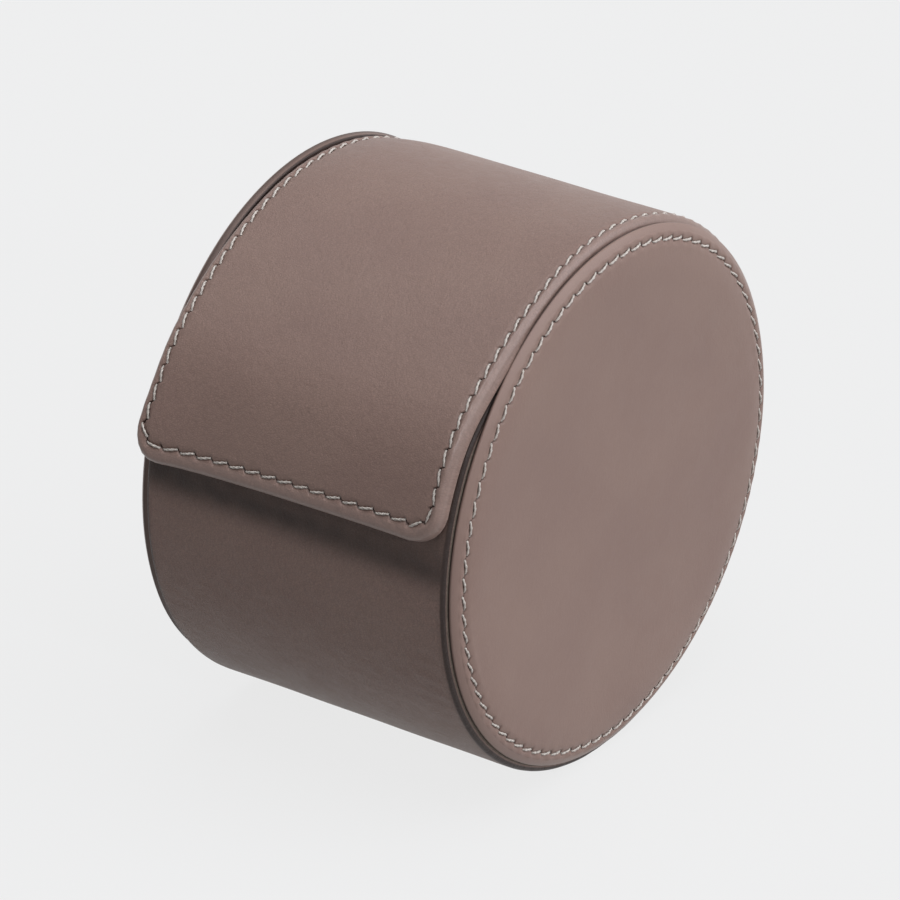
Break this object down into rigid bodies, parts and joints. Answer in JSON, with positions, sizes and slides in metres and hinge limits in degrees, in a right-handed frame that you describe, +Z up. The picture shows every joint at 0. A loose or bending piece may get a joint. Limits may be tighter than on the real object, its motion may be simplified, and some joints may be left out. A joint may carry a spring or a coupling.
{
  "type": "watch roll",
  "caption": "Round leather watch roll on its side, with padded stitched ends, a curved magnetic flap over the opening and a removable watch cushion inside.",
  "frame": {"origin": "on the small flat under the drum, at the middle of its length", "axes": "+X along the drum towards the right end, -Y towards the flap's lip at the front, +Z up"},
  "size_m": [0.0624, 0.0942, 0.0916],
  "materials": {
    "taupe_leather": "smooth, fine grain, satin",
    "suede_lining": "short napped suede",
    "board": "grey-brown pressed fibre board",
    "foam": "open-cell foam",
    "magnet": "nickel plated",
    "thread": "waxed ecru thread"
  },
  "bodies": {
    "case": {"body_leather": "taupe_leather", "tube_board": "board", "tube_lining": "suede_lining", "body_magnets": "magnet", "left_end_leather": "taupe_leather", "left_end_thread": "thread", "left_end_foam": "foam", "left_end_board": "board", "left_end_lining": "suede_lining", "right_end_leather": "taupe_leather", "right_end_thread": "thread", "right_end_foam": "foam", "right_end_board": "board", "right_end_lining": "suede_lining"},
    "flap": {"flap_leather": "taupe_leather", "flap_thread": "thread", "flap_padding": "foam", "flap_board": "board", "flap_lining": "suede_lining", "flap_magnets": "magnet"},
    "watch_cushion": {"cushion_core": "foam", "cushion_cover": "suede_lining", "cushion_left_panel": "suede_lining", "cushion_right_panel": "suede_lining"}
  },
  "joints": [
    {"name": "flap_hinge", "type": "hinge", "parent": "case", "child": "flap", "pos_m": [0, 0.04519, 0.05521], "axis": [-1, 0, 0], "range_deg": [0, 165]},
    {"name": "cushion_lift", "type": "slide", "parent": "case", "child": "watch_cushion", "axis": [0, 0, 1], "range_m": [0, 0.085]}
  ],
  "couplings": [
    {"joint": "cushion_lift", "follows": "flap_hinge", "m_per_rad": 0.0284}
  ]
}
